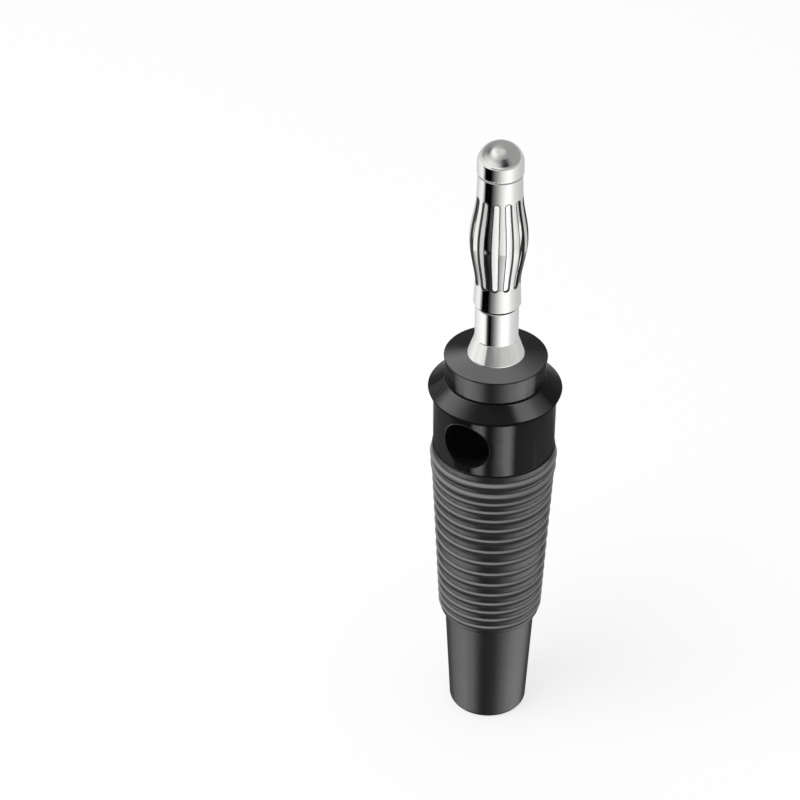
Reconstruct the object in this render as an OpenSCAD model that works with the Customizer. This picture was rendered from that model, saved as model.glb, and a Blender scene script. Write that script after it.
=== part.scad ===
// Spring-cage banana plug with a cross hole for stacking a second plug.
// The plug stands on its tail: the axis is +Z, the cross hole runs along Y.
// Lengths follow each other up the axis from the tail end at z = 0.

/* [Tail] */
// Diameter of the tail at its open end
tail_end_d = 6.9; // [6.4:0.1:7.2]
// Diameter of the tail where it meets the grip
tail_d = 8; // [7.6:0.05:8.3]
// Length of the smooth tail
tail_len = 10.7; // [8:0.1:13]
// Rounding of the tail's end edge
tail_round = 0.3; // [0.1:0.05:0.4]
// Diameter of the hole for the cable
cable_hole_d = 5.2; // [4.8:0.1:5.4]

/* [Grip] */
// Length of the ribbed grip
grip_len = 18.1; // [17:0.1:20]
// Diameter under the ribs at the tail end
grip_tail_d = 8.83; // [8.6:0.01:9.2]
// Diameter under the ribs at the head end
grip_head_d = 10.6; // [10.3:0.01:11]
// Rounding of the step from the tail to the grip
step_round = 0.38; // [0.1:0.02:0.4]
// Rounding of the lip at the head end
lip_round = 0.1; // [0.05:0.05:0.3]
// Number of ribs round the grip
rib_count = 16; // [8:1:18]
// Width of a rib
rib_w = 0.58; // [0.3:0.02:0.6]
// Height of a rib
rib_h = 0.14; // [0.05:0.01:0.2]
// How much the ribs crowd towards both ends
rib_crowding = 0.2; // [0:0.02:0.28]
// Distance of the first rib from the step at the tail
first_rib = 0.78; // [0.7:0.02:1.2]
// Distance of the last rib from the head end
last_rib = 1.03; // [0.75:0.01:1.5]
// Distance between the last two ribs
top_rib_gap = 1.16; // [1:0.02:1.4]
// Enlargement of the two ribs that are next to the head
end_rib_scale = 1.6; // [1:0.1:1.6]

/* [Label window] */
// Width of the flat window for a label
window_w = 4.4; // [3:0.1:5]
// Length of the window
window_len = 6.9; // [4:0.1:8]
// Distance of the window from the head end of the grip
window_end = 3.4; // [2.5:0.1:5]
// Distance of the window's floor from the axis
window_floor = 4.15; // [4:0.05:4.3]

/* [Head] */
// Diameter of the neck that holds the cross hole
neck_d = 10.42; // [10:0.02:10.6]
// Growth of the neck's diameter towards the flange
neck_draft = 0.08; // [0:0.02:0.2]
// Length of the neck
neck_len = 5.4; // [4.8:0.1:7]
// Diameter of the flange
flange_d = 11.4; // [11:0.02:12]
// Height of the slope under the flange
flange_under = 0.3; // [0.1:0.05:0.6]
// Height of the flange's edge
flange_edge = 0.15; // [0.1:0.05:0.5]
// Height of the cone above the flange
flange_cone = 1.02; // [0.6:0.02:1.5]
// Diameter of the collar at its foot
collar_foot_d = 8.52; // [8.2:0.02:8.6]
// Diameter of the collar at its top edge
collar_d = 8.76; // [8.6:0.02:9]
// Height of the collar
collar_len = 2.2; // [1.5:0.01:3]
// Rise of the collar's top face towards the pin
collar_rise = 0.27; // [0.1:0.01:0.5]

/* [Cross hole] */
// Diameter of the cross hole through the head and the metal
cross_hole_d = 4.2; // [4:0.05:4.4]
// Height of the cross hole above the seam with the grip
cross_hole_z = 2.75; // [2.4:0.05:3]

/* [Contact pin] */
// Diameter of the barrel inside the head and the grip
barrel_d = 6.6; // [6.2:0.1:6.8]
// Length of the barrel inside the grip
barrel_tail = 14.8; // [14:0.1:15]
// Diameter of the bare cone at the collar
cone_d = 4.78; // [4.4:0.02:5]
// Length of the bare cone
cone_len = 1.7; // [1:0.01:3]
// Diameter of the shank
shank_d = 3.66; // [3.5:0.02:3.8]
// Length of the shank
shank_len = 3.35; // [2:0.05:5]
// Diameter of the tip
tip_d = 3.8; // [3.7:0.02:3.9]
// Length of the tip with its dome
tip_len = 2.65; // [2.4:0.05:4]
// Height of the dome on the tip
dome_len = 1.55; // [1.2:0.05:1.85]
// Diameter of the hole for the wire
wire_hole_d = 3; // [2.8:0.1:3.2]
// Depth of the hole for the wire
wire_hole_len = 12; // [8:0.5:12.5]

/* [Cage spring] */
// Length of the groove that the cage sits in
cage_room = 12.5; // [11:0.05:14]
// Diameter of the cage's ring at the shank
foot_ring_d = 3.88; // [3.74:0.02:4]
// Diameter of the cage's ring at the tip
tip_ring_d = 3.74; // [3.7:0.02:3.9]
// Length of each plain ring
ring_len = 2.1; // [1.6:0.05:2.5]
// Diameter of the cage at its widest
bulge_d = 4.85; // [4.4:0.05:5]
// Thickness of the sheet
sheet_t = 0.2; // [0.15:0.01:0.25]
// Number of slots
slot_count = 12; // [8:1:12]
// Width of a slot at its ends
slot_w = 0.46; // [0.3:0.02:0.5]
// Length of a slot
slot_len = 8.3; // [6:0.1:9]
// Width of the seam where the rolled sheet meets
seam_w = 0.16; // [0.1:0.02:0.3]

/* [Clamp screw] */
// Diameter of the screw
screw_d = 2.5; // [2:0.1:2.5]
// Height of the screw above the barrel's rear end
screw_z = 4.2; // [3:0.1:5]
// Width of the driver slot
driver_w = 0.5; // [0.4:0.05:0.7]
// Depth of the driver slot
driver_depth = 0.6; // [0.4:0.05:0.8]

/* [Fits] */
// Gap between the barrel and the grip, all round
slide_gap = 0.05; // [0.03:0.01:0.1]
// Gap between the barrel and the head, all round
press_gap = 0.02; // [0.01:0.01:0.03]
// Gap round the cage's rings and at their ends
cage_gap = 0.06; // [0.04:0.01:0.1]
// Gap round the screw in its hole
screw_gap = 0.05; // [0.03:0.01:0.08]

/* [Hidden] */
$fn = 96;

soft_black = "#2b2b2c";
hard_black = "#1a1a1b";
nickel = "#c8c6c1";
steel = "#9b9da0";

// Slots start a little to one side of the cross hole's mouth
slot_turn = 20.5;
// The rolled sheet's seam is at the slot on the far side
seam_slot = 3;
// Straight steps in a rib, a rounded edge, the bulge and the dome
rib_steps = 6;
edge_steps = 4;
bulge_steps = 16;
dome_steps = 10;
// Extra reach of a cutting shape past the surface that it cuts
past = 1;

// Heights up the axis
step_z = tail_len;
seam_z = step_z + grip_len;
under_z = seam_z + neck_len;
edge_z = under_z + flange_under;
cone_z = edge_z + flange_edge;
collar_z = cone_z + flange_cone;
collar_top_z = collar_z + collar_len;
bare_z = collar_top_z + collar_rise;
shank_z = bare_z + cone_len;
cage_z = shank_z + shank_len;
tip_z = cage_z + cage_room;
top_z = tip_z + tip_len;
hole_z = seam_z + cross_hole_z;

// The barrel and the spaces that it fits
barrel_r = barrel_d / 2;
barrel_z = seam_z - barrel_tail;
socket_r = barrel_r + slide_gap;
head_bore_r = barrel_r + press_gap;
pin_bore_r = cone_d / 2 + press_gap;
cable_r = cable_hole_d / 2;
barrel_edge = 0.3;
socket_z = barrel_z - 0.5;

// The cage and the core that it turns on
core_r = min(foot_ring_d, tip_ring_d) / 2 - sheet_t - cage_gap;
cage_foot_z = cage_z + cage_gap;
cage_len = cage_room - 2 * cage_gap;
bulge_len = cage_len - 2 * ring_len;
// Power of the sine that shapes the bulge: higher is slimmer at both ends
bulge_power = 1.6;

// The screw at rest: its outer edge is just under the barrel's surface, and
// its inner end is just short of the hole for the wire
screw_r = screw_d / 2;
screw_axis_z = barrel_z + screw_z;
screw_sink = 0.05;
screw_out = sqrt(barrel_r * barrel_r - screw_r * screw_r) - screw_sink;
screw_len = screw_out - wire_hole_d / 2 - screw_sink;

// Points along a round edge in the plane of a turned section
function arc(centre, r, from, to) =
    [for (i = [0 : edge_steps])
        let (a = from + (to - from) * i / edge_steps)
        centre + r * [cos(a), sin(a)]];

// Radius of the grip under its ribs
function grip_r(z) = (grip_tail_d + (grip_head_d - grip_tail_d) * (z - step_z) / grip_len) / 2;

// Height of a rib's middle: the last rib stands apart, and the steps between
// the others are drawn together towards both ends
function rib_z(i) =
    let (
        t = i / (rib_count - 2),
        first = step_z + first_rib,
        last = seam_z - last_rib,
        crowded_len = last - top_rib_gap - first
    )
    i > rib_count - 2 ? last : first + crowded_len * (t - rib_crowding * sin(360 * t) / (2 * PI));

// The two ribs next to the head are larger
function rib_scale(i) = i < rib_count - 2 ? 1 : end_rib_scale;

// One rib is half a wave on the slope of the grip
function rib(i) =
    [for (s = [0 : rib_steps])
        let (k = rib_scale(i), z = rib_z(i) + (s / rib_steps - 0.5) * rib_w * k)
        [grip_r(z) + rib_h * k * sin(180 * s / rib_steps), z]];

// Outer radius of the cage: straight end rings and one smooth bulge between them
function cage_r(z) =
    let (
        u = max(0, min(1, (z - cage_foot_z - ring_len) / bulge_len)),
        plain_r = (foot_ring_d + (tip_ring_d - foot_ring_d) * u) / 2,
        middle_r = (foot_ring_d + tip_ring_d) / 4
    )
    plain_r + (bulge_d / 2 - middle_r) * pow(sin(180 * u), bulge_power);

// A cylinder along Y through the axis of the plug
module cross_cylinder(d, z) {
    translate([0, 0, z])
        rotate([90, 0, 0])
            cylinder(d = d, h = flange_d + 2 * past, center = true);
}

// Soft grip: kink guard, ribs and label window, pushed over the barrel
module grip_sleeve() {
    tail_end_r = tail_end_d / 2;
    outline = concat(
        [[cable_r, 0]],
        arc([tail_end_r - tail_round, tail_round], tail_round, -90, 0),
        [[tail_d / 2, step_z]],
        arc([grip_r(step_z) - step_round, step_z + step_round], step_round, -90, 0),
        [for (i = [0 : rib_count - 1]) each rib(i)],
        arc([grip_r(seam_z) - lip_round, seam_z - lip_round], lip_round, 0, 90),
        [[socket_r, seam_z], [socket_r, socket_z], [cable_r, socket_z - (socket_r - cable_r)]]
    );
    color(soft_black)
        difference() {
            rotate_extrude() polygon(outline);
            translate([-window_w / 2, window_floor, seam_z - window_end - window_len])
                cube([window_w, grip_head_d, window_len]);
        }
}

// Hard moulding: neck, flange and collar in one piece
module insulating_head() {
    neck_edge = 0.1;
    neck_r = neck_d / 2;
    outline = [
        [head_bore_r, seam_z],
        [neck_r - neck_edge, seam_z],
        [neck_r, seam_z + neck_edge],
        [neck_r + neck_draft / 2, under_z],
        [flange_d / 2, edge_z],
        [flange_d / 2, cone_z],
        [collar_foot_d / 2, collar_z],
        [collar_d / 2, collar_top_z],
        [pin_bore_r, bare_z],
        [pin_bore_r, collar_z],
        [head_bore_r, collar_z]
    ];
    color(hard_black)
        difference() {
            rotate_extrude() polygon(outline);
            cross_cylinder(cross_hole_d, hole_z);
        }
}

// Turned contact: barrel, bare cone, shank, core for the cage and domed tip
module contact_pin() {
    tip_r = tip_d / 2;
    dome_r = (tip_r * tip_r + dome_len * dome_len) / (2 * dome_len);
    dome_from = asin(1 - dome_len / dome_r);
    outline = concat(
        [[0, barrel_z], [barrel_r - barrel_edge, barrel_z], [barrel_r, barrel_z + barrel_edge]],
        [[barrel_r, collar_z - press_gap], [cone_d / 2, collar_z - press_gap]],
        [[cone_d / 2, bare_z], [shank_d / 2, shank_z], [shank_d / 2, cage_z]],
        [[core_r, cage_z], [core_r, tip_z], [tip_r, tip_z]],
        [for (i = [0 : dome_steps])
            let (a = dome_from + (90 - dome_from) * i / dome_steps)
            [dome_r * cos(a), top_z - dome_r + dome_r * sin(a)]]
    );
    color(nickel)
        difference() {
            rotate_extrude() polygon(outline);
            cross_cylinder(cross_hole_d, hole_z);
            translate([0, 0, barrel_z - past])
                cylinder(d = wire_hole_d, h = wire_hole_len + past);
            translate([0, 0, screw_axis_z])
                rotate([90, 0, 0])
                    cylinder(r = screw_r + screw_gap, h = barrel_r + past);
        }
}

// A slot with round ends through one side of the cage: its sides lie on two
// planes through the axis, so it widens with the bulge
module cage_slot() {
    reach = (slot_len - slot_w) / 2;
    ring_r = (foot_ring_d + tip_ring_d) / 4;
    inner = [core_r, core_r * slot_w / ring_r / 2];
    outer = inner * bulge_d / core_r;
    translate([0, 0, cage_foot_z + cage_len / 2]) {
        translate([0, 0, -reach])
            linear_extrude(2 * reach)
                polygon([inner, outer, [outer.x, -outer.y], [inner.x, -inner.y]]);
        for (side = [-1, 1])
            translate([core_r, 0, side * reach])
                rotate([0, 90, 0])
                    cylinder(d = slot_w, h = bulge_d);
    }
}

// Cage spring: slotted sheet rolled into a bulged tube
module lantern_spring() {
    heights = concat(
        [cage_foot_z],
        [for (i = [0 : bulge_steps]) cage_foot_z + ring_len + bulge_len * i / bulge_steps],
        [cage_foot_z + cage_len]
    );
    last = len(heights) - 1;
    outline = concat(
        [for (z = heights) [cage_r(z), z]],
        [for (i = [last : -1 : 0]) [cage_r(heights[i]) - sheet_t, heights[i]]]
    );
    color(nickel)
        difference() {
            rotate_extrude() polygon(outline);
            for (i = [0 : slot_count - 1])
                rotate(slot_turn + 360 * i / slot_count)
                    cage_slot();
            rotate(slot_turn + 360 * seam_slot / slot_count)
                translate([core_r, -seam_w / 2, cage_foot_z - past])
                    cube([bulge_d, seam_w, cage_len + 2 * past]);
        }
}

// Slotted screw without a head that clamps the wire in the barrel
module clamp_screw() {
    point = 0.25;
    outline = [[0, 0], [screw_r, 0], [screw_r, screw_len - point], [screw_r - point, screw_len], [0, screw_len]];
    color(steel)
        translate([0, -screw_out, screw_axis_z])
            rotate([-90, 0, 0])
                difference() {
                    rotate_extrude() polygon(outline);
                    translate([-driver_w / 2, -screw_d, -past])
                        cube([driver_w, 2 * screw_d, driver_depth + past]);
                }
}

grip_sleeve();
insulating_head();
contact_pin();
lantern_spring();
clamp_screw();
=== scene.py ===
# %% [markdown]
# # A stackable 4 mm test plug
# The real plug is five pieces: a soft ribbed grip, a hard black head, a turned and plated
# contact, a rolled spring cage and a small clamp screw. The CAD model already holds their sizes,
# fits and joints. This lesson loads it as a fixed frame and gives each piece a smooth surface and
# a finish, so the frame stays the measure and Blender adds only what the eye sees.

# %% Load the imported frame
import math

import bmesh
import bpy
import numpy as np
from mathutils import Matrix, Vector


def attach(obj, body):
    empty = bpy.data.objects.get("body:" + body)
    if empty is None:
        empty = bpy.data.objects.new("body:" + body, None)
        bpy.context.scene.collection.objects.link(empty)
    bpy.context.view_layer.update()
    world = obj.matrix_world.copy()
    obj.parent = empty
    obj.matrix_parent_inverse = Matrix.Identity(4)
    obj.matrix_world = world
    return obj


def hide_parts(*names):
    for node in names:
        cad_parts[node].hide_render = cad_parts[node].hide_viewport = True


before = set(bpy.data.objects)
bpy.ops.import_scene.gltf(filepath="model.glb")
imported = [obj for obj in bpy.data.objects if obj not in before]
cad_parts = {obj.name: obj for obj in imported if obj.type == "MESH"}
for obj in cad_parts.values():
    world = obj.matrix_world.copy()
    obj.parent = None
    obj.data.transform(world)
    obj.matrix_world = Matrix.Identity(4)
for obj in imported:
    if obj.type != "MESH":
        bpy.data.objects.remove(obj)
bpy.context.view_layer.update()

MM = 0.001


def in_mm(box):
    """The corners of a box in mm, rounded for printing."""
    return [[round(value / MM, 2) for value in corner] for corner in box]


print("CAD nodes:", ", ".join(sorted(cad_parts)))

# %% [markdown]
# ## Grids that become meshes
# Every new surface here is a function of two parameters, worked out on a grid of points. One
# piece is several grids that share their border points. Merging those points closes the shell,
# and an angle limit keeps the edges that a moulding or a turned part really has. A box or
# cylinder primitive would be quicker, but it has no rounded edges to catch the light.

# %% Mesh from grids
MERGE_DISTANCE, COLLAPSE_DISTANCE, CREASE = 2e-7, 1e-8, 32.0


def add_object(name, data):
    """A new object at the origin, put into the scene."""
    added = bpy.data.objects.new(name, data)
    bpy.context.scene.collection.objects.link(added)
    return added


def grid_quads(rows, columns, keep=None):
    """Corner numbers of a grid's cells: cell (i, j) joins (i, j), (i, j+1), (i+1, j+1), (i+1, j)."""
    number = np.arange(rows * columns).reshape(rows, columns)
    quads = np.stack([number[:-1, :-1], number[:-1, 1:], number[1:, 1:], number[1:, :-1]], axis=-1)
    return quads.reshape(-1, 4) if keep is None else quads[keep]


def piece_from_grids(name, grids):
    """One closed mesh from grids of points in mm: a grid is points (rows, columns, 3), or a pair
    of such points and a mask of the cells to keep. Equal points are merged, faces turn outwards,
    and edges sharper than the crease angle stay sharp."""
    points, quads, start = [], [], 0
    for grid in grids:
        at, keep = grid if isinstance(grid, tuple) else (grid, None)
        quads.append(grid_quads(*at.shape[:2], keep) + start)
        points.append(at.reshape(-1, 3))
        start += len(points[-1])
    mesh = bpy.data.meshes.new(name)
    mesh.from_pydata((np.concatenate(points) * MM).tolist(), [], np.concatenate(quads).tolist())
    shell = bmesh.new()
    shell.from_mesh(mesh)
    bmesh.ops.remove_doubles(shell, verts=shell.verts, dist=MERGE_DISTANCE)
    bmesh.ops.dissolve_degenerate(shell, edges=shell.edges, dist=COLLAPSE_DISTANCE)
    bmesh.ops.recalc_face_normals(shell, faces=shell.faces)
    open_edges = sum(not edge.is_manifold for edge in shell.edges)
    shell.to_mesh(mesh)
    shell.free()
    mesh.shade_smooth()
    mesh.set_sharp_from_angle(angle=math.radians(CREASE))
    print(f"{name}: {len(mesh.polygons)} faces, {open_edges} open edges")
    return add_object(name, mesh)


# %% Profiles and turned surfaces
CORNER_ROOM, RUN_END = 0.48, 0.04
HALF_TURN = 96
AROUND = np.linspace(-np.pi, np.pi, 2 * HALF_TURN + 1)


def soften(corners, reach, steps=6):
    """A profile with round corners: each inner corner becomes a curve (1-t)^2 A + 2t(1-t) C + t^2 B,
    where A and B lie on its two edges, at most `reach` away from the corner C. Each straight run
    gets a point a twenty-fifth of its length from either end, which keeps its shading flat."""
    corners = np.asarray(corners, float)
    corner = corners[1:-1]
    back, ahead = corners[:-2] - corner, corners[2:] - corner
    back_len = np.linalg.norm(back, axis=1, keepdims=True)
    ahead_len = np.linalg.norm(ahead, axis=1, keepdims=True)
    room = CORNER_ROOM * np.minimum(back_len, ahead_len)
    reach = np.minimum(np.broadcast_to(reach, len(corner))[:, None], room)
    first, last = corner + back / back_len * reach, corner + ahead / ahead_len * reach
    t = np.linspace(0, 1, steps + 1)[None, :, None]
    curve = (1 - t) ** 2 * first[:, None] + 2 * t * (1 - t) * corner[:, None] + t**2 * last[:, None]
    start, end = np.concatenate([corners[:1], last]), np.concatenate([first, corners[-1:]])
    runs = np.stack([start + RUN_END * (end - start), end - RUN_END * (end - start)], axis=1)
    body = np.concatenate([runs[:-1], curve], axis=1).reshape(-1, 2)
    return np.concatenate([corners[:1], body, runs[-1], corners[-1:]])


def turned(profile):
    """A turned surface: each profile point (r, z) goes round the axis as (r sin a, -r cos a, z),
    so a = 0 faces -Y, the side where the cross hole starts."""
    r, z = profile[:, :1], profile[:, 1:]
    return np.stack([r * np.sin(AROUND), -r * np.cos(AROUND), z + 0 * AROUND], axis=-1)


def wall(top, bottom, steps=4):
    """A strip between two rows of points: top + (bottom - top) t."""
    t = np.linspace(0, 1, steps + 1)[:, None, None]
    return top + (bottom - top) * t


# %% [markdown]
# Some finishes follow the form: a painted highlight on each rib, painted shade on the wall of a hole,
# painted shade along a stamped edge. A painted image could mark such places, but it would need a UV map. A
# number on each point does it without one, and the material reads that number by its name.

# %% Shares kept on points
MARGIN = 0.01


def points_in_mm(piece):
    """Three arrays with the x, y and z of the piece's points, in mm."""
    at = np.empty(3 * len(piece.data.vertices))
    piece.data.vertices.foreach_get("co", at)
    return at.reshape(-1, 3).T / MM


def keep_share(piece, name, share):
    """Keeps a share from 0 to 1 on each point of a piece, as an attribute for its finish."""
    share = np.asarray(share, float)
    piece.data.attributes.new(name, "FLOAT", "POINT").data.foreach_set("value", share)
    print(f"{piece.name}: {name} on {int((share > 0).sum())} points")


# %% [markdown]
# ## Soft grip
# The grip is one soft moulding: a smooth tail that guards the cable, then a cone with sixteen
# ribs for the fingers, and on the far side a sunk window for a label. It could be cut with a
# Boolean, but ribs that meet the cutter leave ragged edges. Here the columns of the grid are bent
# so that two of them run along the window's sides, and the pocket simply takes the place of the
# cells between them.

# %% Radius of the grip
STEP_Z, SEAM_Z, CONE_LOW_R, CONE_HIGH_R = 10.7, 28.8, 4.415, 5.3
RIB_COUNT, RIB_W, RIB_H, RIB_CROWDING = 16, 0.58, 0.14, 0.2
FIRST_RIB_GAP, LAST_RIB_GAP, LAST_RIB_PITCH = 0.78, 1.03, 1.16
LARGE_RIBS, LARGE_RIB_SCALE = 2, 1.6

rib_number = np.arange(RIB_COUNT)
rib_t = rib_number / (RIB_COUNT - LARGE_RIBS)
crowded_t = rib_t - RIB_CROWDING * np.sin(2 * np.pi * rib_t) / (2 * np.pi)
first_rib_z, last_rib_z = STEP_Z + FIRST_RIB_GAP, SEAM_Z - LAST_RIB_GAP
rib_z = first_rib_z + (last_rib_z - LAST_RIB_PITCH - first_rib_z) * crowded_t
rib_z[-1] = last_rib_z
rib_scale = np.where(rib_number < RIB_COUNT - LARGE_RIBS, 1.0, LARGE_RIB_SCALE)


def grip_radius(z):
    """A cone, plus one bump for each rib: height times cos(pi s)^2, where s runs from -1/2 to 1/2
    across the rib."""
    z = np.asarray(z, float)
    cone = CONE_LOW_R + (CONE_HIGH_R - CONE_LOW_R) * (z - STEP_Z) / (SEAM_Z - STEP_Z)
    s = np.clip((z[..., None] - rib_z) / (RIB_W * rib_scale), -0.5, 0.5)
    return cone + (RIB_H * rib_scale * np.cos(np.pi * s) ** 2).sum(axis=-1)


print("ribs at", np.round(rib_z, 2))

# %% Profile of the grip
SOCKET_R, SOCKET_LOW, CABLE_R, CABLE_HIGH, CABLE_MIDDLE = 3.35, 13.5, 2.6, 12.75, 6.0
TAIL_LOW_R, TAIL_HIGH_R = 3.45, 4.0
RIBBED_LOW, RIBBED_HIGH, ROW_GAP = 11.1, 28.5, 0.02
WINDOW_W, WINDOW_LOW, WINDOW_HIGH, WINDOW_FLOOR, WINDOW_ROLL = 4.4, 18.5, 25.4, 4.15, 0.12

foot = soften(
    [[CABLE_R, CABLE_MIDDLE], [CABLE_R, 0], [TAIL_LOW_R, 0], [TAIL_HIGH_R, STEP_Z],
     [CONE_LOW_R, STEP_Z], [grip_radius(RIBBED_LOW), RIBBED_LOW]],
    [0.12, 0.3, 0.05, 0.36],
)
lip = soften(
    [[grip_radius(RIBBED_HIGH), RIBBED_HIGH], [grip_radius(SEAM_Z), SEAM_Z], [SOCKET_R, SEAM_Z],
     [SOCKET_R, SOCKET_LOW], [CABLE_R, CABLE_HIGH], [CABLE_R, CABLE_MIDDLE]],
    [0.1, 0.12, 0.05, 0.05],
)
roll = WINDOW_ROLL * (1 - np.cos(np.linspace(0, np.pi / 2, 6)))
grip_rows = np.unique(np.round(np.concatenate([
    (rib_z[:, None] + RIB_W * rib_scale[:, None] * np.linspace(-0.5, 0.5, 17)).ravel(),
    WINDOW_LOW - roll, WINDOW_HIGH + roll,
    np.linspace(RIBBED_LOW + ROW_GAP, RIBBED_HIGH - ROW_GAP, 40),
]), 4))
ribbed = np.stack([grip_radius(grip_rows), grip_rows], axis=-1)
grip_profile = np.concatenate([foot, ribbed, lip])
print("points along the grip's profile:", len(grip_profile))

# %% Columns bent along the window
POCKET_COLUMNS, BACK_COLUMNS = 15, 157


def window_columns(r):
    """Angles from +Y of the grid's columns at radius r: the first run lies at fixed x across the
    window and its rolled edge, asin(x / r), and the rest share the way round the back evenly."""
    half = WINDOW_W / 2
    x = np.concatenate([-half - roll[::-1], np.linspace(-half, half, POCKET_COLUMNS)[1:-1], half + roll])
    edge = np.arcsin(x[-1] / r)
    rest = edge + (2 * np.pi - 2 * edge) * np.linspace(0, 1, BACK_COLUMNS)[1:]
    return x, np.concatenate([np.arcsin(x / r), rest], axis=1)


window_x, column_angle = window_columns(grip_profile[:, :1])
grip_points = np.stack([
    grip_profile[:, :1] * np.sin(column_angle),
    grip_profile[:, :1] * np.cos(column_angle),
    grip_profile[:, 1:] + 0 * column_angle,
], axis=-1)
print("grid of the grip:", grip_points.shape[:2])

# %% Window pocket
# The window's edge rolls over by a quarter circle: within WINDOW_ROLL of the opening, the surface
# drops by roll * (1 - sqrt(1 - (1 - d / roll)^2)), where d is the distance from the opening.
TOLERANCE = 1e-6

outer = slice(len(foot), len(foot) + len(ribbed))
away_x = np.maximum(np.abs(window_x) - WINDOW_W / 2, 0)
away_z = np.maximum(np.maximum(WINDOW_LOW - grip_rows, grip_rows - WINDOW_HIGH), 0)
away = np.clip(np.hypot(away_x[None], away_z[:, None]) / WINDOW_ROLL, 0, 1)
grip_points[outer, :len(window_x), 1] -= WINDOW_ROLL * (1 - np.sqrt(1 - (1 - away) ** 2))

row_in = np.zeros(len(grip_profile), bool)
row_in[outer] = (grip_rows >= WINDOW_LOW - TOLERANCE) & (grip_rows <= WINDOW_HIGH + TOLERANCE)
column_in = np.zeros(column_angle.shape[1], bool)
column_in[:len(window_x)] = np.abs(window_x) <= WINDOW_W / 2 + TOLERANCE
keep = ~((row_in[:-1] & row_in[1:])[:, None] & (column_in[:-1] & column_in[1:])[None])

rim = grip_points[row_in][:, column_in]
floor_of_window = rim.copy()
floor_of_window[..., 1] = WINDOW_FLOOR
soft_grip = piece_from_grids("soft_grip", [
    (grip_points, keep), floor_of_window,
    wall(rim[0], floor_of_window[0]), wall(rim[-1], floor_of_window[-1]),
    wall(rim[:, 0], floor_of_window[:, 0]), wall(rim[:, -1], floor_of_window[:, -1]),
])

# %% Painted rib highlights and dull crevices
# The upper side of each rib is painted paler, a painted highlight where the ribs face the light from above,
# and the crevice under it is made rough and dull. Each band lies at a share of the rib's width from its
# middle, and its share falls off with the distance.
RIB_HIGHLIGHT_AT, CREVICE_AT, BAND_HALF, BAND_PEAK = 0.22, -0.42, 0.12, 1.6
RIBS_FROM_R = 4.2

x, y, z = points_in_mm(soft_grip)
across_rib = (z[:, None] - rib_z) / (RIB_W * rib_scale)
beside_window = (y < 0) | (np.abs(x) > WINDOW_W / 2 + MARGIN)
beside_window |= (z < WINDOW_LOW - MARGIN) | (z > WINDOW_HIGH + MARGIN)
on_ribs = (np.hypot(x, y) > RIBS_FROM_R) & beside_window
for band, band_at in (("painted_rib_highlight", RIB_HIGHLIGHT_AT), ("crevice", CREVICE_AT)):
    share = np.clip(BAND_PEAK - np.abs(across_rib - band_at) / BAND_HALF, 0, 1).max(axis=1)
    keep_share(soft_grip, band, share * on_ribs)
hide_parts("grip_sleeve")
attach(soft_grip, "sleeve")

# %% [markdown]
# ## Tubes with a round hole
# The head and the contact are turned shapes with holes through their sides. A ring-shaped grid
# fits such a wall well: each column starts on the edge of the hole and runs to the border of half
# the tube. The border points are those of the turned surface above and below, so they close.

# %% Half a tube with a hole
SIDE_STEPS = 16


def half_border(low, high):
    """Azimuth and height of the points round the border of half a tube: along the bottom, up the
    right side, back along the top and down the left side."""
    across = np.linspace(-np.pi / 2, np.pi / 2, HALF_TURN + 1)
    up = np.linspace(low, high, SIDE_STEPS + 1)
    azimuth = np.concatenate([
        across[:-1], np.full(SIDE_STEPS, np.pi / 2), across[:0:-1], np.full(SIDE_STEPS + 1, -np.pi / 2)])
    height = np.concatenate([
        np.full(HALF_TURN, low), up[:-1], np.full(HALF_TURN, high), up[::-1]])
    return azimuth, height


def hole_angles(low, high, hole_z, tube_r):
    """Direction of each border point as seen from the hole's middle on the unrolled tube."""
    azimuth, height = half_border(low, high)
    return np.arctan2(height - hole_z, tube_r * azimuth)


def on_tube(radius, x, z, depth):
    """The point of the -Y half of a tube over (x, z), sunk by depth: y = -(sqrt(r^2 - x^2) - depth)."""
    return np.stack([x, -(np.sqrt(radius**2 - x**2) - depth), z + 0 * x], axis=-1)


def holed_half(radius_at, low, high, hole_z, hole_r, angles, rings=14):
    """The -Y half of a tube with a round hole: azimuth and height go straight from the hole's edge
    to the border, and the radius follows the height."""
    azimuth, height = half_border(low, high)
    z = hole_z + hole_r * np.sin(angles)
    start = np.arcsin(hole_r * np.cos(angles) / radius_at(z))
    t = np.linspace(0, 1, rings + 1)[:, None]
    a, z = start + (azimuth - start) * t, z + (height - z) * t
    r = radius_at(z)
    return np.stack([r * np.sin(a), -r * np.cos(a), z], axis=-1)


def plain_half(radius, low, high):
    """The +Y half of a tube, with the same border points as a half with a hole."""
    a = np.linspace(np.pi / 2, 3 * np.pi / 2, HALF_TURN + 1)
    up = np.linspace(low, high, SIDE_STEPS + 1)[:, None]
    return np.stack([radius * np.sin(a) + 0 * up, -radius * np.cos(a) + 0 * up, up + 0 * a], axis=-1)


def mirrored(points):
    """The same surface on the +Y side."""
    return points * np.array([1.0, -1.0, 1.0])


def straight(radius):
    """A radius that is the same at every height."""
    return lambda z: radius + 0 * z


# %% [markdown]
# ## Hard head
# The head is a glossy hard moulding. Its neck carries the cross hole, in which a second plug is
# stacked, its flange keeps the fingers off the metal, and a collar rises to the pin. The thin
# groove at the collar's foot is what draws the dark line there. The hole's mouth is rounded by a
# twentieth of a millimetre, as moulded edges are.

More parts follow.
